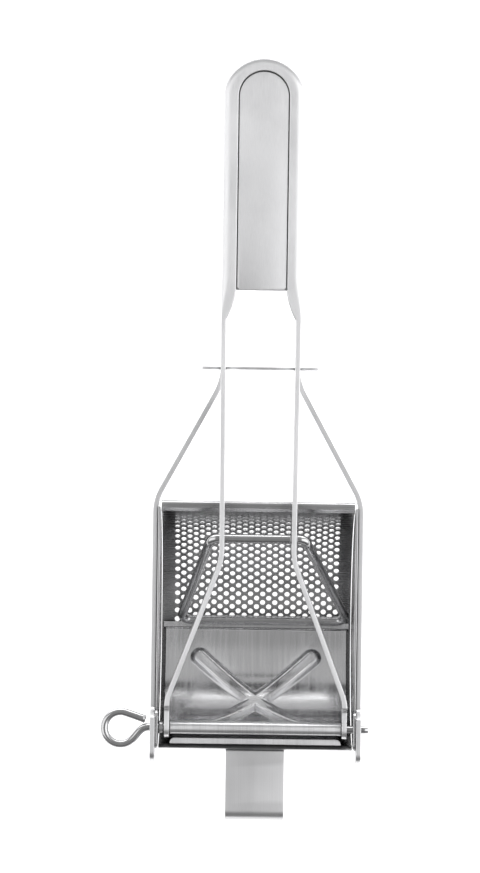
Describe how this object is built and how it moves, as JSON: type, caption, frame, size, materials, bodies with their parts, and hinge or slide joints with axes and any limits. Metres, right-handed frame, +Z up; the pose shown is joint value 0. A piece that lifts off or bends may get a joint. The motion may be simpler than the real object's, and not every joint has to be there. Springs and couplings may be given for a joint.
{
  "type": "potato ricer",
  "caption": "Stainless potato ricer: half-round perforated trough on a long strap handle, hinged lever with curved press plate, wire link, pull-out eye pin and pot hook.",
  "frame": {"origin": "on the flat underside of the pot hook, on the ricer's middle plane, where the pot's rim bears", "axes": "+Y from the hinge towards the handles, +Z up out of the open trough, +X to the right, along the hinge pin away from its eye"},
  "size_m": [0.1093, 0.3106, 0.0738],
  "materials": {
    "strap_steel": "satin stainless strap, 2 mm",
    "panel_steel": "lengthwise brushed stainless insert",
    "basket_steel": "semi-bright stainless sheet",
    "plate_steel": "bright stainless sheet with a fine grain",
    "wire_steel": "polished stainless wire"
  },
  "bodies": {
    "basket": {"basket_trough": "basket_steel", "side_wall_left": "basket_steel", "side_wall_right": "basket_steel", "front_edge_strip": "basket_steel", "lower_handle_frame": "strap_steel", "lower_handle_insert": "panel_steel", "pot_rest": "strap_steel", "pot_hook": "strap_steel"},
    "lever": {"lever_frame": "strap_steel", "upper_handle_insert": "panel_steel", "press_link": "wire_steel", "press_plate": "plate_steel", "press_plate_tube": "plate_steel"},
    "collar": {"pin_collar": "wire_steel"},
    "pin": {"hinge_pin": "wire_steel"}
  },
  "joints": [
    {"name": "lever_hinge", "type": "hinge", "parent": "basket", "child": "lever", "pos_m": [0, 0.021, 0.0032], "axis": [1, 0, 0], "range_deg": [0, 118]},
    {"name": "pin_turn", "type": "hinge", "parent": "basket", "child": "collar", "pos_m": [0, 0.021, 0.0032], "axis": [1, 0, 0], "continuous": true},
    {"name": "pin_pull", "type": "slide", "parent": "collar", "child": "pin", "axis": [-1, 0, 0], "range_m": [0, 0.09]}
  ]
}
